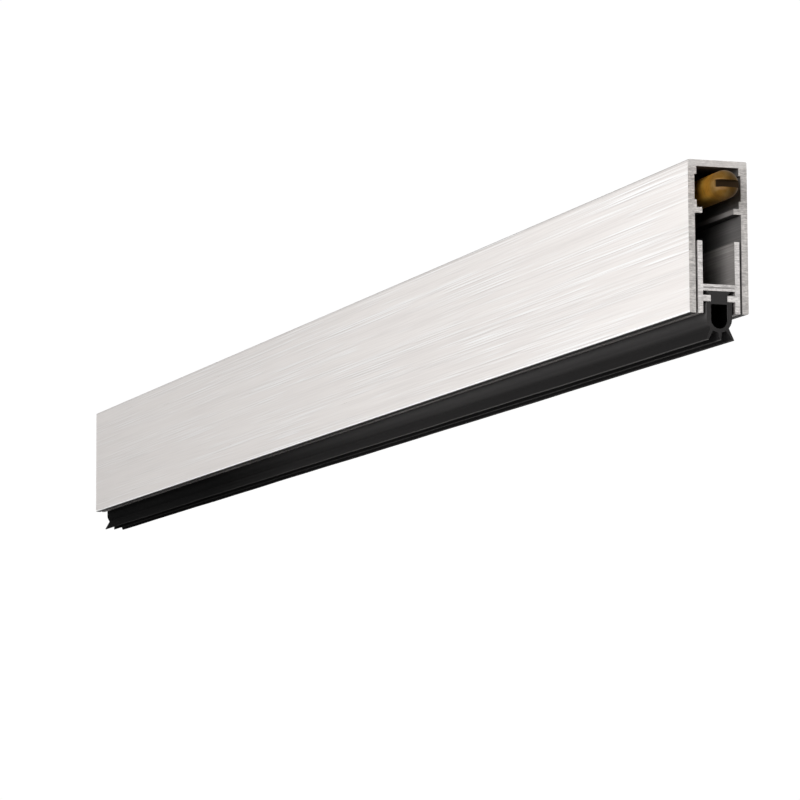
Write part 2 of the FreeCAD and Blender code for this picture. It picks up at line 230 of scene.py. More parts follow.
def brushedSide(finish, look, z, fine, clear):
    # fine brushing along the length, with zones of bright hairs and dark scores
    broad = finish.grain(*look["broad"])
    tone = (fine * look["fineShare"] + broad * (1 - look["fineShare"]) - 0.5) * clear + 0.5
    brushed = finish.ramp(tone, look["brushed"])
    lower = finish.node("ShaderNodeVectorMath", {"operation": "ADD"}, {
        0: finish.coords, 1: (0.0, 0.0, look["shadeDrop"] * mm)})
    here = finish.ease(finish.grain(*look["hairZones"]), look["zoneSpan"]) * clear
    for kind in ("long", "short"):
        hairs, shade = (finish.ease(finish.grain(*look[kind + "Hairs"], at), look[kind + "Span"])
                        for at in (None, lower))
        brushed = finish.mix(shade * here * look["shadeShare"], brushed, look["hairDark"])
        brushed = finish.mix(hairs * here * look["hairShare"], brushed, look["hairLight"])
    scores = finish.ease(finish.grain(*look["scores"]), look["scoreSpan"])
    brushed = finish.mix(scores * here * look["scoreShare"], brushed, look["hairDark"])
    # painted shade: a thin dark line just below the top edge
    topShadeLine = finish.ease(abs(z - look["topShadeLine"]), look["topLineSpan"]) * clear
    return finish.mix(topShadeLine * look["topLineShare"], brushed, look["hairDark"])


def innerWalls(finish, look, x, z):
    # mill finish, with a painted highlight on the ledges and painted shade in the chamber and away from the ends
    dull = millLines(finish, look["mill"], look["millShift"])[0]
    # painted highlight: a lighter band on the ledge's edge face
    ledge = finish.ease(z, look["ledgeUnderSpan"], look["ledgeUnder"])
    ledge = ledge * finish.ease(z, look["ledgeTopSpan"], look["ledgeTop"])
    dull = finish.mix(ledge * look["ledgeShare"], dull, look["ledge"])
    # painted shade in the chamber round the plunger, lighter near the open mouth
    mouth = finish.ease(abs(x), look["mouthSpan"]) * look["mouthShare"]
    dull = finish.mix(finish.ease(z, look["chamberSpan"]) * (look["chamberShare"] - mouth), dull, look["chamber"])
    # painted shade: darker deeper inside, away from the cut ends
    dull = finish.mix(finish.ease(abs(x), look["depthSpan"]) * look["depthShare"], dull, look["chamber"])
    # grime and painted shade in the corner under the ledge
    corner = finish.ease(abs(z - look["ledgeUnder"]), look["cornerSpan"])
    return finish.mix(corner * look["cornerShare"], dull, look["shadeAndGrime"])


def casingFinish(look):
    finish = Finish("casingAluminium")
    x, y, z = finish.place()
    inside = finish.ease(abs(y), look["innerSpan"], look["innerHalf"])
    inside = inside * finish.ease(z, look["roofSpan"], look["roof"])
    under = finish.ease(z, underSpan, bottom)
    mill = inside.maths("MAXIMUM", under)
    end = finish.ease(abs(x), endSpan, halfLength)
    fine = finish.grain(*look["fine"])
    clear = look["farMarks"] + finish.ease(x, look["farToNear"]) * (1 - look["farMarks"])
    rim = finish.ease(z, look["rimSpan"], bottom)  # a painted highlight with edge wear: a bright line along the lower edge
    brushed = finish.mix(rim, brushedSide(finish, look, z, fine, clear), look["hairLight"])
    # painted shade on the casing's downward faces
    dull = finish.mix(under, innerWalls(finish, look, x, z), look["undersideShade"])
    sawn, marks = sawnEnds(finish, look["sawn"])
    top = finish.ease(z, look["sawnTopSpan"], look["roof"])
    sawn = finish.mix(top * look["sawnTopShare"], sawn, look["sawnTop"])
    dullness = (end * look["sawnDull"]).maths("MAXIMUM", mill * look["millDull"])
    dullness = dullness.maths("MAXIMUM", rim * (1 - end) * look["rimDull"])
    return finish.dress({
        "Base Color": finish.mix(end, finish.mix(mill, brushed, dull), sawn),
        "Roughness": look["rough"] + fine * look["fineRough"] + mill * look["millRough"] + end * look["sawnRough"],
        "Metallic": look["metallic"] - dullness,
        "Normal": finish.bump((1 - end) * fine + end * marks, *look["bump"])})


carrierLook = {
    # mill finish; its darkness is partly painted shade
    "mill": ((0.34, linear(114, 111, 109)), (0.5, linear(138, 134, 132)), (0.66, linear(178, 174, 171))),
    "sawn": ((0.32, linear(162, 159, 157)), (0.5, linear(206, 202, 200)), (0.66, linear(234, 231, 228))),
    # deep is the colour of the painted shade inside, away from the ends
    "burr": linear(112, 109, 107), "deep": linear(60, 58, 58), "legs": linear(178, 174, 171), "millShift": 11.0,
    "depthSpan": (262.0, 240.0), "depthShare": 0.3, "legsAlong": (-60.0, 60.0), "legsAcross": (4.4, 4.7),
    "legsShare": 0.6, "floorMid": -29.15, "burrSpan": (0.3, 0.1), "burrAcross": (4.0, 3.7), "burrShare": 0.7,
    "rough": 0.42, "lineRough": 0.1, "sawnRough": 0.1, "metallic": 0.45, "sawnMetallic": 0.15, "bump": (0.02, 0.35),
}


def carrierFinish(look):
    finish = Finish("carrierAluminium")
    x, y, z = finish.place()
    end = finish.ease(abs(x), endSpan, halfLength)
    dull, lines = millLines(finish, look["mill"], look["millShift"])
    # painted shade: darker deeper inside, away from the cut ends
    dull = finish.mix(finish.ease(abs(x), look["depthSpan"]) * look["depthShare"], dull, look["deep"])
    # painted light on the legs' undersides, fading towards the far end
    legs = finish.ease(z, underSpan, bottom) * finish.ease(x, look["legsAlong"])
    legs = legs * finish.ease(abs(y), look["legsAcross"])
    dull = finish.mix(legs * look["legsShare"], dull, look["legs"])
    sawn, marks = sawnEnds(finish, look["sawn"])
    burr = finish.ease(abs(z - look["floorMid"]), look["burrSpan"]) * finish.ease(abs(y), look["burrAcross"])
    sawn = finish.mix(burr * look["burrShare"], sawn, look["burr"])
    return finish.dress({
        "Base Color": finish.mix(end, dull, sawn),
        "Roughness": look["rough"] + lines * look["lineRough"] + end * look["sawnRough"],
        "Metallic": look["metallic"] + end * look["sawnMetallic"],
        "Normal": finish.bump(lines + end * marks, *look["bump"])})


# rubber strip: head in the carrier's slot, hollow bulb, two feet and a middle rib

sealStrip = {
    "stations": 150, "headHalf": 2.8, "headTop": -29.95, "headEdge": 0.2, "headUnder": -30.85,
    "neckHalf": 1.9, "shoulder": -32.35, "bulbHalf": 3.1, "bulbCentre": -36.2, "bulbSteps": 8,
    "hollowHalf": 2.05, "hollowCentre": -36.42, "hollowTop": -32.9, "hollowSteps": 24,
    "finRoot": 39.0, "finSpan": 16.0, "finLean": 1.2, "finTip": 0.45,
    "ribRoot": 1.0, "ribTip": 0.24, "ribSteps": 4, "tipZ": -41.12,
    "headRound": 0.06, "edgeRound": 0.08, "neckRound": 0.12, "shoulderRound": 0.5, "hollowRound": 0.3,
    "finOuterRound": 0.3, "tipOuterRound": 0.1, "tipInnerRound": 0.16, "finInnerRound": 0.25,
    "ribRootRound": 0.1, "ribTipRound": 0.08, "smoothDegrees": 40.0,
    "waveFrom": -37.6, "wave": 0.1, "ribY": 0.4, "setNear": 0.27, "setFar": -0.55,
    "waves": ((1.0, 21.0, 1.3), (0.6, 7.7, 2.1), (0.7, 53.0, 0.0)),  # share, length and phase by side
}

rubberLook = {
    "dark": linear(3, 3, 3), "wearAndLight": linear(50, 49, 49), "dust": linear(58, 56, 55), "high": linear(74, 73, 73),
    "scuffAndTipLight": linear(78, 77, 76), "hollow": linear(1, 1, 1),
    "lines": ((320.0, 0.3, 0.3), 2.0, 0.6, 2.0), "patches": ((60.0, 5.0, 5.0), 2.0, 0.5, 6.0),
    "pores": ((0.28, 0.28, 0.28), 1.0, 0.5, 1.0),
    "farToNear": (-150.0, 110.0), "nearLight": 0.8, "marksWorn": 0.6,
    "dustPatches": (0.56, 0.74), "dustPores": (0.5, 0.62), "dustShare": 0.25,
    "sideSpan": (-0.02, -0.1), "highSpan": (-37.2, -35.2), "highShare": 0.75,
    "footSpan": (-37.4, -38.7), "footShare": 0.2, "footSideShare": 0.42,
    "scuffSpan": (0.3, 0.08), "scuffNear": 0.5, "scuffLines": 0.3,
    "hollowSpan": (0.1, 0.03), "hollowDepth": (-0.05, -0.5),
    "rough": 0.74, "patchRough": 0.16, "specular": 0.04, "lineDepth": 1.5, "bump": (0.015, 0.35),
}


def rubberFinish(look, strip):
    # black rubber with lines along it; it is darker towards the far end, where painted light fades, and wear marks
    # vary it
    finish = Finish("blackRubber")
    x, y, z = finish.place()
    lines, patches, pores = (finish.grain(*look[k]) for k in ("lines", "patches", "pores"))
    near = finish.ease(x, look["farToNear"])
    side = finish.ease(abs(x), look["sideSpan"], halfLength)
    # painted light towards the near end, with wear from lines and patches
    wearAndLight = near * look["nearLight"] + ((lines + patches) * 0.5 - 0.5) * look["marksWorn"]
    colour = finish.mix(wearAndLight, look["dark"], look["wearAndLight"])
    dust = finish.ease(patches, look["dustPatches"]) * finish.ease(pores, look["dustPores"]) * near
    colour = finish.mix(dust * look["dustShare"], colour, look["dust"])
    # painted light on the bulb's upper wall, which the casing shades
    high = finish.ease(z, look["highSpan"]) * near * side
    colour = finish.mix(high * look["highShare"], colour, look["high"])
    # painted shade on the lower bulb and the feet
    foot = finish.ease(z, look["footSpan"]) * near * (look["footShare"] + side * look["footSideShare"])
    colour = finish.mix(foot, colour, look["dark"])
    # scuffs and painted light on the tips of the feet
    scuff = finish.ease(z, look["scuffSpan"], strip["tipZ"])
    scuff = scuff * (near * look["scuffNear"] + lines * look["scuffLines"])
    colour = finish.mix(scuff, colour, look["scuffAndTipLight"])
    # painted shade inside the hollow, except right at the cut ends
    drop = (z - strip["hollowCentre"]).maths("MINIMUM", 0.0)
    hollow = finish.ease(distance(y, drop), look["hollowSpan"], strip["hollowHalf"])
    hollow = hollow * finish.ease(z, look["hollowSpan"], strip["hollowTop"])
    hollow = hollow * finish.ease(abs(x), look["hollowDepth"], halfLength)
    return finish.dress({
        "Base Color": finish.mix(hollow, colour, look["hollow"]),
        "Roughness": look["rough"] + patches * look["patchRough"], "Specular IOR Level": look["specular"],
        "Normal": finish.bump(pores + lines * look["lineDepth"], *look["bump"])})


brassLook = {
    "turned": ((0.34, linear(200, 138, 44)), (0.5, linear(244, 176, 66)), (0.66, linear(252, 198, 96))),
    "face": linear(130, 93, 33), "faceLight": linear(142, 110, 58), "dull": linear(58, 41, 14),
    "wearAndLight": linear(178, 140, 100), "shadeAndGrime": linear(48, 34, 18),
    "rings": ((0.16, 0.16, 1.0), 2.0, 0.6, 1.0), "tarnish": ((4.5, 2.4, 2.4), 3.0, 0.6, 7.0), "ringShare": 0.45,
    "tip": 271.0, "lowRise": (-1.9, -3.2), "lowAlong": (-1.0, -5.0), "lowShare": 0.7,
    "noseSpan": (-5.5, -1.2), "faceMarks": (0.4, 0.6), "faceShadeAcross": (-1.8, 1.2), "faceShadeShare": 0.75,
    "highlightMid": -0.25, "highlightRise": (1.6, 0.9), "highlightAcross": (0.6, -1.8), "highlightAlong": (-1.6, -0.6),
    "highlightShare": 0.45, "slotHalf": 0.85, "slotSpan": (0.02, -0.03), "slotAcross": (-2.75, -2.45),
    "slotAlong": (-1.3, -1.22), "rough": 0.36, "tarnishRough": 0.16, "noseRough": 0.14, "metallic": 0.82,
    "bump": (0.012, 0.35),
}


def brassFinish(look):
    # turned brass: fine rings by place along the line and by distance from it
    finish = Finish("turnedBrass")
    x, y, z = finish.place()
    rise, tip = z - axisZ, look["tip"]
    turned = finish.combine(x * mm, distance(y, rise) * mm, 0.0)
    rings, tarnish = finish.grain(*look["rings"], turned), finish.grain(*look["tarnish"])
    colour = finish.ramp(rings * look["ringShare"] + tarnish * (1 - look["ringShare"]), look["turned"])
    # painted shade towards the plunger's underside, near the tip
    low = finish.ease(rise, look["lowRise"]) * finish.ease(x, look["lowAlong"], tip)
    colour = finish.mix(low * look["lowShare"], colour, look["shadeAndGrime"])
    # painted shade: the end face is darker than the side, varied by tarnish
    nose = finish.ease(x, look["noseSpan"], tip)
    face = finish.mix(finish.ease(tarnish, look["faceMarks"]), look["face"], look["faceLight"])
    dull = finish.ease(y, look["faceShadeAcross"]) * look["faceShadeShare"]  # painted shade: one side of the tip's face is darker
    colour = finish.mix(nose, colour, finish.mix(dull, face, look["dull"]))
    # painted highlight beside the slot's lower left edge
    wearAndLight = finish.ease(abs(rise - look["highlightMid"]), look["highlightRise"]) * finish.ease(y, look["highlightAcross"])
    wearAndLight = wearAndLight * finish.ease(x, look["highlightAlong"], tip)
    colour = finish.mix(wearAndLight * look["highlightShare"], colour, look["wearAndLight"])
    # painted shade inside the driver's slot
    slot = finish.ease(abs(rise), look["slotSpan"], look["slotHalf"]) * finish.ease(y, look["slotAcross"])
    slot = slot * finish.ease(x, look["slotAlong"], tip)
    return finish.dress({
        "Base Color": finish.mix(slot, colour, look["shadeAndGrime"]),
        "Roughness": look["rough"] + tarnish * look["tarnishRough"] + nose * look["noseRough"],
        "Metallic": look["metallic"], "Normal": finish.bump(rings, *look["bump"])})


nylonLook = {"moulded": ((0.35, linear(30, 30, 32)), (0.65, linear(50, 50, 52))),
             "flow": ((9.0, 5.0, 5.0), 3.0, 0.6, 3.0), "spark": ((0.22, 0.22, 0.22), 1.0, 0.5, 1.0),
             "rough": 0.42, "flowRough": 0.2, "bump": (0.02, 0.4)}


def nylonFinish(look):
    finish = Finish("blackNylon")
    flow, spark = finish.grain(*look["flow"]), finish.grain(*look["spark"])
    return finish.dress({
        "Base Color": finish.ramp(flow, look["moulded"]), "Roughness": look["rough"] + flow * look["flowRough"],
        "Normal": finish.bump(spark, *look["bump"])})


metalLook = {"fine": ((0.3, 0.3, 0.3), 2.0, 0.6, 5.0), "broadShare": 0.6, "broadRough": 0.16, "metallic": 0.95}
zincLook = {"tones": ((0.36, linear(122, 124, 127)), (0.5, linear(158, 160, 163)), (0.66, linear(190, 191, 194))),
            "broad": ((3.0, 3.0, 3.0), 3.0, 0.6, 2.0), "rough": 0.4, "bump": (0.03, 0.3)}
steelLook = {"tones": ((0.36, linear(142, 143, 146)), (0.5, linear(186, 187, 190)), (0.66, linear(214, 215, 217))),
             "broad": ((5.0, 5.0, 5.0), 3.0, 0.6, 2.0), "rough": 0.24, "bump": (0.008, 0.3)}
springLook = {"tones": ((0.36, linear(110, 110, 113)), (0.5, linear(150, 150, 153)), (0.66, linear(190, 190, 194))),
              "broad": ((7.0, 7.0, 7.0), 3.0, 0.6, 2.0), "rough": 0.2, "bump": (0.006, 0.3)}


def metalFinish(name, look):
    look = {**metalLook, **look}
    finish = Finish(name)
    broad, fine = finish.grain(*look["broad"]), finish.grain(*look["fine"])
    tone = broad * look["broadShare"] + fine * (1 - look["broadShare"])
    return finish.dress({
        "Base Color": finish.ramp(tone, look["tones"]), "Roughness": look["rough"] + broad * look["broadRough"],
        "Metallic": look["metallic"], "Normal": finish.bump(fine, *look["bump"])})


finishes = {
    "casing_aluminium": casingFinish(casingLook),
    "carrier_aluminium": carrierFinish(carrierLook),
    "seal_rubber": rubberFinish(rubberLook, sealStrip),
    "plunger_brass": brassFinish(brassLook),
    "moulded_nylon": nylonFinish(nylonLook),
    "zinc": metalFinish("dieCastZinc", zincLook),
    "steel": metalFinish("platedSteel", steelLook),
    "spring_steel": metalFinish("springSteel", springLook),
}
print("finishes made,", len(finishes))

for part in frame["record"]["subparts"]:
    node = frame["nodes"][part["node"]]
    node.data.materials.clear()
    node.data.materials.append(finishes[part["material_slot"]])


# meshes

edgeBreak = {"segments": 2, "degrees": 40.0}


def pieceFrom(name, mesh, slot, body, replaced=(), smoothDegrees=32.0):
    mesh.name = name
    if not mesh.materials:
        mesh.materials.append(finishes[slot])
    mesh.shade_smooth()
    mesh.set_sharp_from_angle(angle=math.radians(smoothDegrees))
    piece = bpy.data.objects.new(name, mesh)
    bpy.context.scene.collection.objects.link(piece)
    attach(piece, body)
    if replaced:
        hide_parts(*replaced)
    return piece


def meshFrom(name, points, faces):
    # a closed mesh from points in millimetres, with its faces turned outwards
    shape = bmesh.new()
    made = [shape.verts.new(Vector(p) * mm) for p in points]
    for face in faces:
        shape.faces.new([made[i] for i in face])
    bmesh.ops.recalc_face_normals(shape, faces=shape.faces)
    mesh = bpy.data.meshes.new(name)
    shape.to_mesh(mesh)
    shape.free()
    return mesh


def evaluated(host):
    # the plain mesh of an object with its modifiers, which is then deleted
    graph = bpy.context.evaluated_depsgraph_get()
    mesh = bpy.data.meshes.new_from_object(host.evaluated_get(graph))
    bpy.data.objects.remove(host)
    return mesh


def hostFrom(mesh):
    host = bpy.data.objects.new(mesh.name + "Host", mesh)
    bpy.context.scene.collection.objects.link(host)
    return host


def roundedLoop(corners, steps=4):
    # a closed outline; a third number in a corner rounds it
    loop = []
    for i, corner in enumerate(corners):
        at = Vector(corner[:2])
        if len(corner) < 3:
            loop.append(at)
            continue
        toLast = (Vector(corners[i - 1][:2]) - at).normalized()
        toNext = (Vector(corners[(i + 1) % len(corners)][:2]) - at).normalized()
        half = toLast.angle(toNext) / 2
        middle = at + (toLast + toNext).normalized() * (corner[2] / math.sin(half))
        cut = corner[2] / math.tan(half)
        first, last = at + toLast * cut - middle, at + toNext * cut - middle
        loop += [middle + first.slerp(last, s / steps) * corner[2] for s in range(steps + 1)]
    return loop


def lathe(name, stations, sides):
    # a turned shape about z, from (radius, height) pairs with both ends closed flat
    points, faces = [], []
    for radius, height in stations:
        for s in range(sides):
            turn = 2 * math.pi * s / sides
            points.append((radius * math.cos(turn), radius * math.sin(turn), height))
    for ring in range(len(stations) - 1):
        for s in range(sides):
            a, b = ring * sides + s, ring * sides + (s + 1) % sides
            faces.append((a, b, b + sides, a + sides))
    faces.append(tuple(range(sides)))
    faces.append(tuple(range(len(points) - sides, len(points))))
    return meshFrom(name, points, faces)


def block(name, low, high):
    corners = [(x, y, z) for x in (low[0], high[0]) for y in (low[1], high[1]) for z in (low[2], high[2])]
    faces = [(0, 1, 3, 2), (4, 5, 7, 6), (0, 1, 5, 4), (2, 3, 7, 6), (0, 2, 6, 4), (1, 3, 7, 5)]
    return meshFrom(name, corners, faces)


def cutOut(mesh, cutters, edge):
    # the mesh less each cutter, with its sharp edges broken
    host = hostFrom(mesh)
    tools = [hostFrom(cutter) for cutter in cutters]
    for tool in tools:
        cut = host.modifiers.new("cut", "BOOLEAN")
        cut.operation, cut.solver, cut.object = "DIFFERENCE", "EXACT", tool
    bevel = host.modifiers.new("edge", "BEVEL")
    bevel.width, bevel.segments, bevel.limit_method = edge * mm, edgeBreak["segments"], "ANGLE"
    bevel.angle_limit = math.radians(edgeBreak["degrees"])
    made = evaluated(host)
    for tool in tools:
        bpy.data.objects.remove(tool)
    return made


def sealOutline(strip):
    # the strip's outline and its hollow across y and z, from one side mirrored to the other
    def onBulb(degrees, radius=strip["bulbHalf"], centre=strip["bulbCentre"]):
        turn = math.radians(degrees)
        return radius * math.sin(turn), centre - radius * math.cos(turn)

    outer = strip["finRoot"] + strip["finSpan"] / 2
    inner = strip["finRoot"] - strip["finSpan"] / 2
    ribDegrees = math.degrees(math.asin(strip["ribRoot"] / 2 / strip["bulbHalf"]))
    finY = onBulb(strip["finRoot"])[0] + strip["finLean"]
    side = [(strip["headHalf"], strip["headTop"], strip["headRound"]),
            (strip["headHalf"], strip["headTop"] - strip["headEdge"], strip["edgeRound"]),
            (strip["neckHalf"], strip["headUnder"], strip["neckRound"]),
            (strip["neckHalf"], strip["shoulder"], strip["neckRound"]),
            (strip["bulbHalf"], strip["shoulder"], strip["shoulderRound"])]
    side += [onBulb(90 - (90 - outer) * s / strip["bulbSteps"]) for s in range(strip["bulbSteps"])]
    side += [(*onBulb(outer), strip["finOuterRound"]),
             (finY + strip["finTip"] / 2, strip["tipZ"], strip["tipOuterRound"]),
             (finY - strip["finTip"] / 2, strip["tipZ"], strip["tipInnerRound"]),
             (*onBulb(inner), strip["finInnerRound"])]
    side += [onBulb(inner - (inner - ribDegrees) * s / strip["ribSteps"]) for s in range(1, strip["ribSteps"])]
    side += [(*onBulb(ribDegrees), strip["ribRootRound"]), (strip["ribTip"] / 2, strip["tipZ"], strip["ribTipRound"])]
    outside = roundedLoop(side + [(-c[0], *c[1:]) for c in reversed(side)])
    arc = [onBulb(90 - 180 * s / strip["hollowSteps"], strip["hollowHalf"], strip["hollowCentre"])
           for s in range(strip["hollowSteps"] + 1)]
    top = (strip["hollowTop"], strip["hollowRound"])
    return outside, roundedLoop([(strip["hollowHalf"], *top), *arc, (-strip["hollowHalf"], *top)])


def sealMesh(strip):
    # the outline along x, with feet that wave a little and have set to one side
    outside, hollow = sealOutline(strip)
    loop = outside + hollow
    size = len(loop)
    points, faces = [], []
    for s in range(strip["stations"]):
        share = s / (strip["stations"] - 1)
        x = -halfLength + 2 * halfLength * share
        lean = strip["setFar"] + (strip["setNear"] - strip["setFar"]) * share
        for y, z in loop:
            soft = max(0.0, (strip["waveFrom"] - z) / (strip["waveFrom"] - strip["tipZ"])) ** 2
            side = 1.0 if y > strip["ribY"] else -1.0 if y < -strip["ribY"] else 0.0
            sway = sum(high * math.sin(x / long + phase * side) for high, long, phase in strip["waves"])
            points.append((x, y + soft * (strip["wave"] * sway + lean), z))
    for s in range(strip["stations"] - 1):
        for first, count in ((0, len(outside)), (len(outside), len(hollow))):
            for i in range(count):
                a, b = s * size + first + i, s * size + first + (i + 1) % count
                faces.append((a, b, b + size, a + size))
    cap = tessellate_polygon([[Vector((*p, 0)) for p in outside], [Vector((*p, 0)) for p in hollow]])
    far = (strip["stations"] - 1) * size
    faces += [tuple(t) for t in cap] + [tuple(i + far for i in t) for t in cap]
    return meshFrom("sealStrip", points, faces)


sealPiece = pieceFrom("sealStrip", sealMesh(sealStrip), "seal_rubber", "carrier", ["seal"], sealStrip["smoothDegrees"])
print("rubber strip made,", len(sealPiece.data.polygons), "faces")


# plunger: turned brass with a rounded tip, a driver's slot and a shank for the thread

plungerTurning = {
    "shankEnd": 192.0, "lead": 0.4, "coreR": 1.72, "shoulder": 216.0, "step": 0.01, "chamfer": 0.3, "headR": 3.3,
    "tip": 271.0, "tipRound": 2.2, "tipSteps": 12, "sides": 96, "slotW": 1.7, "slotDeep": 1.2, "slotReach": 5.0,
    "slotClear": 2.0, "edge": 0.09,
}


def plungerMesh(turning):
    # turned about z, laid along x, then the slot is cut and the edges are broken
    shoulder, tip, headR = turning["shoulder"], turning["tip"], turning["headR"]
    stations = [(turning["coreR"] - turning["lead"], turning["shankEnd"]),
                (turning["coreR"], turning["shankEnd"] + turning["lead"]),
                (turning["coreR"], shoulder - turning["step"]),
                (headR - turning["chamfer"], shoulder), (headR, shoulder + turning["chamfer"])]
    for s in range(turning["tipSteps"] + 1):
        turn = math.pi / 2 * s / turning["tipSteps"]
        stations.append((headR - turning["tipRound"] * (1 - math.cos(turn)),
                         tip - turning["tipRound"] * (1 - math.sin(turn))))
    mesh = lathe("plungerTurned", stations, turning["sides"])
    mesh.transform(Matrix.Translation((0, 0, axisZ * mm)) @ Matrix.Rotation(math.pi / 2, 4, "Y"))
    half, reach = turning["slotW"] / 2, turning["slotReach"]
    slot = block("driverSlot", (tip - turning["slotDeep"], -reach, axisZ - half),
                 (tip + turning["slotClear"], reach, axisZ + half))
    return cutOut(mesh, [slot], turning["edge"])


pieceFrom("plungerTurned", plungerMesh(plungerTurning), "plunger_brass", "plunger", ["plunger"])
print("plunger made")


# trees for what repeats or follows a path

class Grower(Tree):
    # a geometry tree with named inputs, which ends in plain faces of one material
    def __init__(self, name, inputs):
        self.tree = bpy.data.node_groups.new(name, "GeometryNodeTree")
        super().__init__(self.tree)
        for label, kind in {**inputs, "Material": "Material"}.items():
            self.tree.interface.new_socket(label, in_out="INPUT", socket_type="NodeSocket" + kind)
        self.tree.interface.new_socket("Geometry", in_out="OUTPUT", socket_type="NodeSocketGeometry")
        self.group = self.nodes.new("NodeGroupInput")

    def given(self, label):
        return Value(self, self.group.outputs[label])

    def end(self, geometry):
        real = self.node("GeometryNodeRealizeInstances", None, {0: geometry})
        painted = self.node("GeometryNodeSetMaterial", None, {"Geometry": real, "Material": self.given("Material")})
        output = self.nodes.new("NodeGroupOutput")
        self.links.new(painted.socket, output.inputs[0])
        return self.tree


def grown(name, tree, inputs, slot):
    # the plain mesh that a tree makes with these inputs
    host = hostFrom(bpy.data.meshes.new(name))
    modifier = host.modifiers.new("grow", "NODES")
    modifier.node_group = tree
    for item in tree.interface.items_tree:
        if item.item_type == "SOCKET" and item.in_out == "INPUT":
            modifier[item.identifier] = {**inputs, "Material": finishes[slot]}[item.name]
    return evaluated(host)


def coilTree():
    # a wire wound about x, whose pitch eases at both ends
    tree = Grower("coil", {"Start": "Float", "Length": "Float", "Radius": "Float", "Axis": "Float", "Turns": "Float",
                           "Steps": "Int", "Closing": "Float", "Wire": "Float", "Sides": "Int"})
    count = (tree.given("Turns") * tree.given("Steps") + 1.0).maths("ROUND")
    line = tree.node("GeometryNodeMeshLine", None, {"Count": count})
    share = tree.node("GeometryNodeInputIndex") / (count - 1.0)
    sway = (share * (2 * math.pi)).maths("SINE") * tree.given("Closing") / (2 * math.pi)
    along = tree.given("Start") + tree.given("Length") * (share - sway)
    turn = share * tree.given("Turns") * (2 * math.pi)
    place = tree.combine(along, turn.maths("COSINE") * tree.given("Radius"),
                         turn.maths("SINE") * tree.given("Radius") + tree.given("Axis"))
    moved = tree.node("GeometryNodeSetPosition", None, {"Geometry": line, "Position": place})
    path = tree.node("GeometryNodeMeshToCurve", None, {"Mesh": moved})
    ring = tree.node("GeometryNodeCurvePrimitiveCircle", None, {
        "Resolution": tree.given("Sides"), "Radius": tree.given("Wire")})
    wire = tree.node("GeometryNodeCurveToMesh", None, {"Curve": path, "Profile Curve": ring, "Fill Caps": True})
    return tree.end(wire)


def rowTree():
    # one part set at pairs of places along x
    tree = Grower("row", {"Part": "Object", "First": "Vector", "Pair": "Int", "Pair Step": "Float",
                          "Count": "Int", "Step": "Float"})
    part = tree.node("GeometryNodeObjectInfo", None, {"Object": tree.given("Part")}, "Geometry")
    near = tree.node("GeometryNodeMeshLine", None, {
        "Count": tree.given("Pair"), "Offset": tree.combine(tree.given("Pair Step"), 0.0, 0.0)})
    far = tree.node("GeometryNodeMeshLine", None, {
        "Count": tree.given("Count"), "Start Location": tree.given("First"),
        "Offset": tree.combine(tree.given("Step"), 0.0, 0.0)})
    places = tree.node("GeometryNodeInstanceOnPoints", None, {"Points": far, "Instance": near})
    places = tree.node("GeometryNodeRealizeInstances", None, {0: places})
    return tree.end(tree.node("GeometryNodeInstanceOnPoints", None, {"Points": places, "Instance": part}))


coils, rows = coilTree(), rowTree()
coilSmooth = 60.0

returnSprings = {"near": 101.7, "far": -158.5, "room": 22.0, "coilD": 7.2, "wireD": 0.7, "turns": 9.0,
                 "closing": 0.66, "travel": 6.0, "steps": 30, "sides": 12}
for place in ("near", "far"):
    fixedX = returnSprings[place]
    wireR = returnSprings["wireD"] / 2
    spring = grown("returnCoil_" + place, coils, {
        "Start": (fixedX + wireR) * mm, "Length": (returnSprings["room"] - 2 * wireR) * mm,
        "Radius": (returnSprings["coilD"] / 2 - wireR) * mm, "Axis": axisZ * mm, "Turns": returnSprings["turns"],
        "Steps": returnSprings["steps"], "Closing": returnSprings["closing"], "Wire": wireR * mm,
        "Sides": returnSprings["sides"]}, "spring_steel")
    piece = pieceFrom("returnCoil_" + place, spring, "spring_steel", "casing", ["return_spring_" + place], coilSmooth)
    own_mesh(piece)

shankThread = {"start": 192.9, "length": 22.3, "crestR": 1.96, "ridgeR": 0.2, "pitch": 0.7, "steps": 24, "sides": 6}
thread = grown("shankThread", coils, {
    "Start": shankThread["start"] * mm, "Length": shankThread["length"] * mm,
    "Radius": (shankThread["crestR"] - shankThread["ridgeR"]) * mm, "Axis": axisZ * mm,
    "Turns": shankThread["length"] / shankThread["pitch"], "Steps": shankThread["steps"], "Closing": 0.0,
    "Wire": shankThread["ridgeR"] * mm, "Sides": shankThread["sides"]}, "plunger_brass")
pieceFrom("shankThread", thread, "plunger_brass", "plunger", (), coilSmooth)
print("springs and thread made")


frameScrew = {
    "length": 8.0, "pointR": 0.3, "pointLong": 1.2, "coreR": 1.0, "threadR": 1.25, "pitch": 0.9,
    "ridge": (0.3, 0.5, 0.7), "plainLong": 1.2, "sink": 1.1, "headR": 2.35, "rimLow": -0.12, "rimHigh": -0.05,
    "rimBreak": 0.08, "sides": 48, "recessLong": 2.7, "recessWide": 0.62, "recessDeep": 0.95, "recessClear": 1.0,
    "edge": 0.04, "near": 97.7, "far": -162.5, "y": 3.5,
}


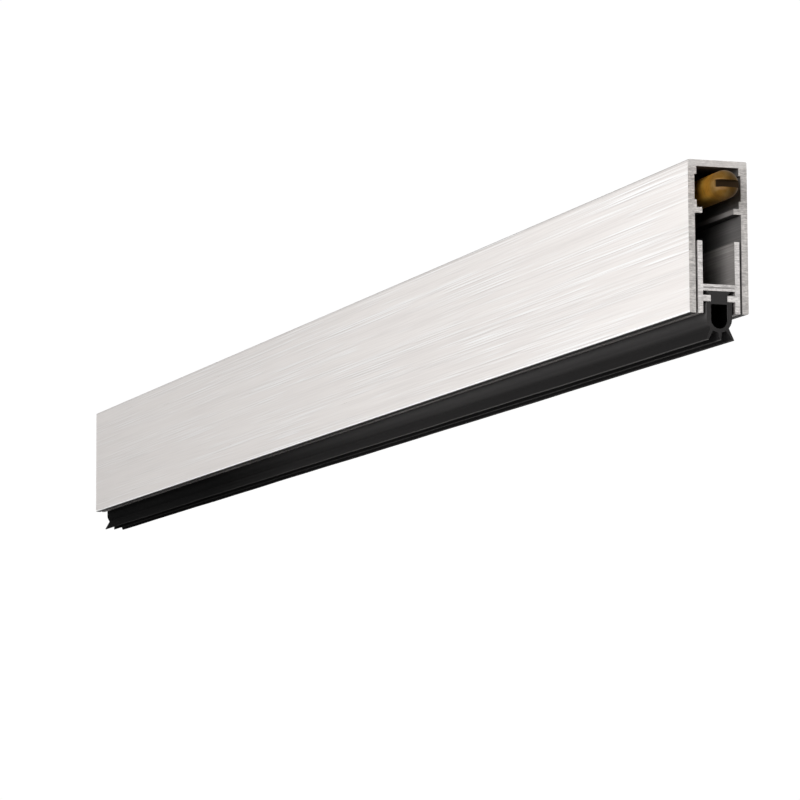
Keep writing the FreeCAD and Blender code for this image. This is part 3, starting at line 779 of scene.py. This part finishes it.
def crossHeadScrew(screw):
    # a countersunk screw with a cross recess and a coarse thread
    z = screw["pointLong"] - screw["length"]
    stations = [(screw["pointR"], -screw["length"]), (screw["coreR"], z)]
    radii = (screw["coreR"], screw["threadR"], screw["coreR"])
    while z < -screw["sink"] - screw["plainLong"]:  # ridges of the thread, as rings
        stations += [(radius, z + rise) for radius, rise in zip(radii, screw["ridge"])]
        z += screw["pitch"]
    stations += [(screw["threadR"], -screw["sink"]), (screw["headR"], screw["rimLow"]),
                 (screw["headR"], screw["rimHigh"]), (screw["headR"] - screw["rimBreak"], 0.0)]
    half, reach = screw["recessWide"] / 2, screw["recessLong"] / 2
    deep, clear = -screw["recessDeep"], screw["recessClear"]
    cutters = [block("recess", (-reach, -half, deep), (reach, half, clear)),
               block("recessAcross", (-half, -reach, deep), (half, reach, clear))]
    return cutOut(lathe("crossHeadScrew", stations, screw["sides"]), cutters, screw["edge"])


def inRow(name, partMesh, inputs, slot, body, replaced):
    partMesh.materials.append(finishes[slot])
    part = hostFrom(partMesh)
    row = grown(name, rows, {"Part": part, **inputs}, slot)
    bpy.data.objects.remove(part)
    return pieceFrom(name, row, slot, body, replaced)


screwRow = {"First": (frameScrew["far"] * mm, frameScrew["y"] * mm, 0.0), "Pair": 1, "Pair Step": 0.0,
            "Count": 2, "Step": (frameScrew["near"] - frameScrew["far"]) * mm}
inRow("frameScrewRow", crossHeadScrew(frameScrew), screwRow, "steel", "casing", ["frame_screws"])

bracketRivet = {
    "foot": -29.9, "dimpleR": 0.55, "dimpleDeep": 0.25, "lipR": 0.75, "lipDeep": 0.02, "edge": 0.1, "shankR": 1.25,
    "seat": -27.5, "headR": 2.1, "headH": 0.9, "rim": 0.12, "domeSteps": 8, "sides": 40, "cam": 130.1, "reach": 13.5,
}


def domedRivet(rivet):
    # a rivet with a domed head and a dimple in its foot
    foot, seat, edge, rim = (rivet[k] for k in ("foot", "seat", "edge", "rim"))
    stations = [(rivet["dimpleR"], foot + rivet["dimpleDeep"]), (rivet["lipR"], foot + rivet["lipDeep"]),
                (rivet["shankR"] - edge, foot), (rivet["shankR"], foot + edge), (rivet["shankR"], seat),
                (rivet["headR"] - edge, seat), (rivet["headR"], seat + rim)]
    for s in range(1, rivet["domeSteps"]):
        turn = math.pi / 2 * s / rivet["domeSteps"]
        stations.append((rivet["headR"] * math.cos(turn), seat + rim + (rivet["headH"] - rim) * math.sin(turn)))
    return lathe("domedRivet", stations, rivet["sides"])


rivetRow = {"First": ((-bracketRivet["cam"] - bracketRivet["reach"]) * mm, 0.0, 0.0), "Pair": 2,
            "Pair Step": 2 * bracketRivet["reach"] * mm, "Count": 2, "Step": 2 * bracketRivet["cam"] * mm}
inRow("bracketRivetRow", domedRivet(bracketRivet), rivetRow, "steel", "carrier", ["bracket_rivets"])
print("screws and rivets made")


# camera, at the photograph's angle

view = {"place": (1055.615, -349.563, -155.650), "azimuth": 70.9357, "elevation": -6.7099, "roll": -0.2801,
        "lens": 173.46, "sensor": 36.0, "clipStart": 0.05, "clipEnd": 50.0}


def makeCamera(view):
    azimuth, elevation, roll = (math.radians(view[k]) for k in ("azimuth", "elevation", "roll"))
    back = Vector((math.sin(azimuth) * math.cos(elevation), -math.cos(azimuth) * math.cos(elevation),
                   math.sin(elevation)))
    level = Vector((math.cos(azimuth), math.sin(azimuth), 0))
    upright = back.cross(level)
    right = math.cos(roll) * level + math.sin(roll) * upright
    up = -math.sin(roll) * level + math.cos(roll) * upright
    camera = bpy.data.objects.new("camera", bpy.data.cameras.new("camera"))
    camera.data.lens, camera.data.sensor_width = view["lens"], view["sensor"]
    camera.data.clip_start, camera.data.clip_end = view["clipStart"], view["clipEnd"]
    turned = Matrix((right, up, back)).transposed().to_4x4()
    camera.matrix_world = Matrix.Translation(Vector(view["place"]) * mm) @ turned
    bpy.context.scene.collection.objects.link(camera)
    bpy.context.scene.camera = camera


makeCamera(view)


# floor, world and lamps; the world's angles are degrees from -x

studio = {
    "floorZ": -0.2, "floorR": 2.4, "floorSides": 64, "floorColour": (0.72, 0.72, 0.72), "floorRough": 0.9,
    "fadeSpan": (0.9, 1.9), "white": 1.02, "fill": 0.3, "gapSpan": (12.0, 25.0), "gapStrength": 0.26,
    "crestRise": (18.0, 27.0), "crestFall": (42.0, 27.0), "crest": 0.5, "aheadSpan": (0.1, -0.1),
    "highSpan": (0.25, 0.6), "high": 0.7, "lowSpan": (-0.2, 0.02), "low": 0.1,
    "lampSpan": (80.0, 115.0), "lampDrop": 0.5,
}


def makeFloor(studio):
    # a pale disc that fades out, and that isn't seen from below
    shape = bmesh.new()
    bmesh.ops.create_circle(shape, cap_ends=True, segments=studio["floorSides"], radius=studio["floorR"])
    mesh = bpy.data.meshes.new("floor")
    shape.to_mesh(mesh)
    shape.free()
    mesh.transform(Matrix.Translation((0, 0, studio["floorZ"])))
    if mesh.polygons[0].normal.z < 0:
        mesh.flip_normals()
    floor = bpy.data.objects.new("floor", mesh)
    bpy.context.scene.collection.objects.link(floor)
    finish = Finish("paleFloor")
    x, y, z = finish.place()
    fade = finish.ease(distance(x, y) * mm, studio["fadeSpan"])
    below = finish.node("ShaderNodeNewGeometry", result="Backfacing")
    clear = finish.node("ShaderNodeBsdfTransparent")
    shown = finish.node("ShaderNodeMixShader", None, {
        0: fade.maths("MAXIMUM", below), 1: Value(finish, finish.shader.outputs[0]), 2: clear})
    finish.links.new(shown.socket, finish.output.inputs[0])
    mesh.materials.append(finish.dress({"Base Color": studio["floorColour"], "Roughness": studio["floorRough"]}))


def makeWorld(studio):
    # white to the camera, an even fill, and for reflections a panel with a gap and a brighter crest
    world = bpy.data.worlds.new("studio")
    bpy.context.scene.world = world
    world.use_nodes = True
    tree = Tree(world.node_tree)
    tree.nodes.clear()
    x, y, z = tree.split(tree.node("ShaderNodeTexCoord", result="Generated"))
    turn = abs(y).maths("ARCTAN2", -1.0 * x) * math.degrees(1)
    ahead = tree.ease(y, studio["aheadSpan"])
    panel = tree.ease(turn, studio["gapSpan"], 0.0, (studio["gapStrength"], 1.0), "LINEAR")
    crest = tree.ease(turn, studio["crestRise"]) * tree.ease(turn, studio["crestFall"]) * ahead
    panel = panel + crest * studio["crest"]
    panel = panel * tree.ease(z, studio["highSpan"], 0.0, (1.0, studio["high"]), "LINEAR")
    panel = panel * (1 - ahead * tree.ease(turn, studio["lampSpan"]) * studio["lampDrop"])
    panel = panel * tree.ease(z, studio["lowSpan"], 0.0, (studio["low"], 1.0))
    path = tree.nodes.new("ShaderNodeLightPath").outputs
    camera, glossy, through = (Value(tree, path[n]) for n in ("Is Camera Ray", "Is Glossy Ray", "Is Transmission Ray"))
    seen = camera.maths("MAXIMUM", through)
    strength = seen * studio["white"] + (1 - seen) * (glossy * panel + (1 - glossy) * studio["fill"])
    light = tree.node("ShaderNodeBackground", None, {"Color": (1.0, 1.0, 1.0), "Strength": strength})
    output = tree.nodes.new("ShaderNodeOutputWorld")
    tree.links.new(light.socket, output.inputs[0])


lamps = [
    {"name": "key", "place": (0.9, -1.5, 0.4), "at": (0.0, 0.0, 0.0), "size": 2.4, "power": 9.0, "spread": 180.0,
     "mirrored": True},
    {"name": "front", "place": (1.35, -1.17, 0.3), "at": (0.26, 0.0, -0.02), "size": 1.2, "power": 8.2, "spread": 60.0,
     "mirrored": False},  # it reaches into the open end; in a mirror it would clip pale metal
    {"name": "back", "place": (-0.6, 1.4, 0.9), "at": (0.0, 0.0, 0.0), "size": 2.4, "power": 7.0, "spread": 180.0,
     "mirrored": True},
]


def makeLamp(lamp):
    data = bpy.data.lights.new(lamp["name"], "AREA")
    data.shape, data.size, data.energy = "SQUARE", lamp["size"], lamp["power"]
    data.spread = math.radians(lamp["spread"])
    made = bpy.data.objects.new(lamp["name"], data)
    made.location = lamp["place"]
    made.rotation_euler = (Vector(lamp["place"]) - Vector(lamp["at"])).to_track_quat("Z", "Y").to_euler()
    made.visible_glossy = lamp["mirrored"]
    bpy.context.scene.collection.objects.link(made)


makeFloor(studio)
makeWorld(studio)
for lamp in lamps:
    makeLamp(lamp)
bpy.context.scene.view_settings.view_transform = "Standard"
print("camera, floor and lamps made")
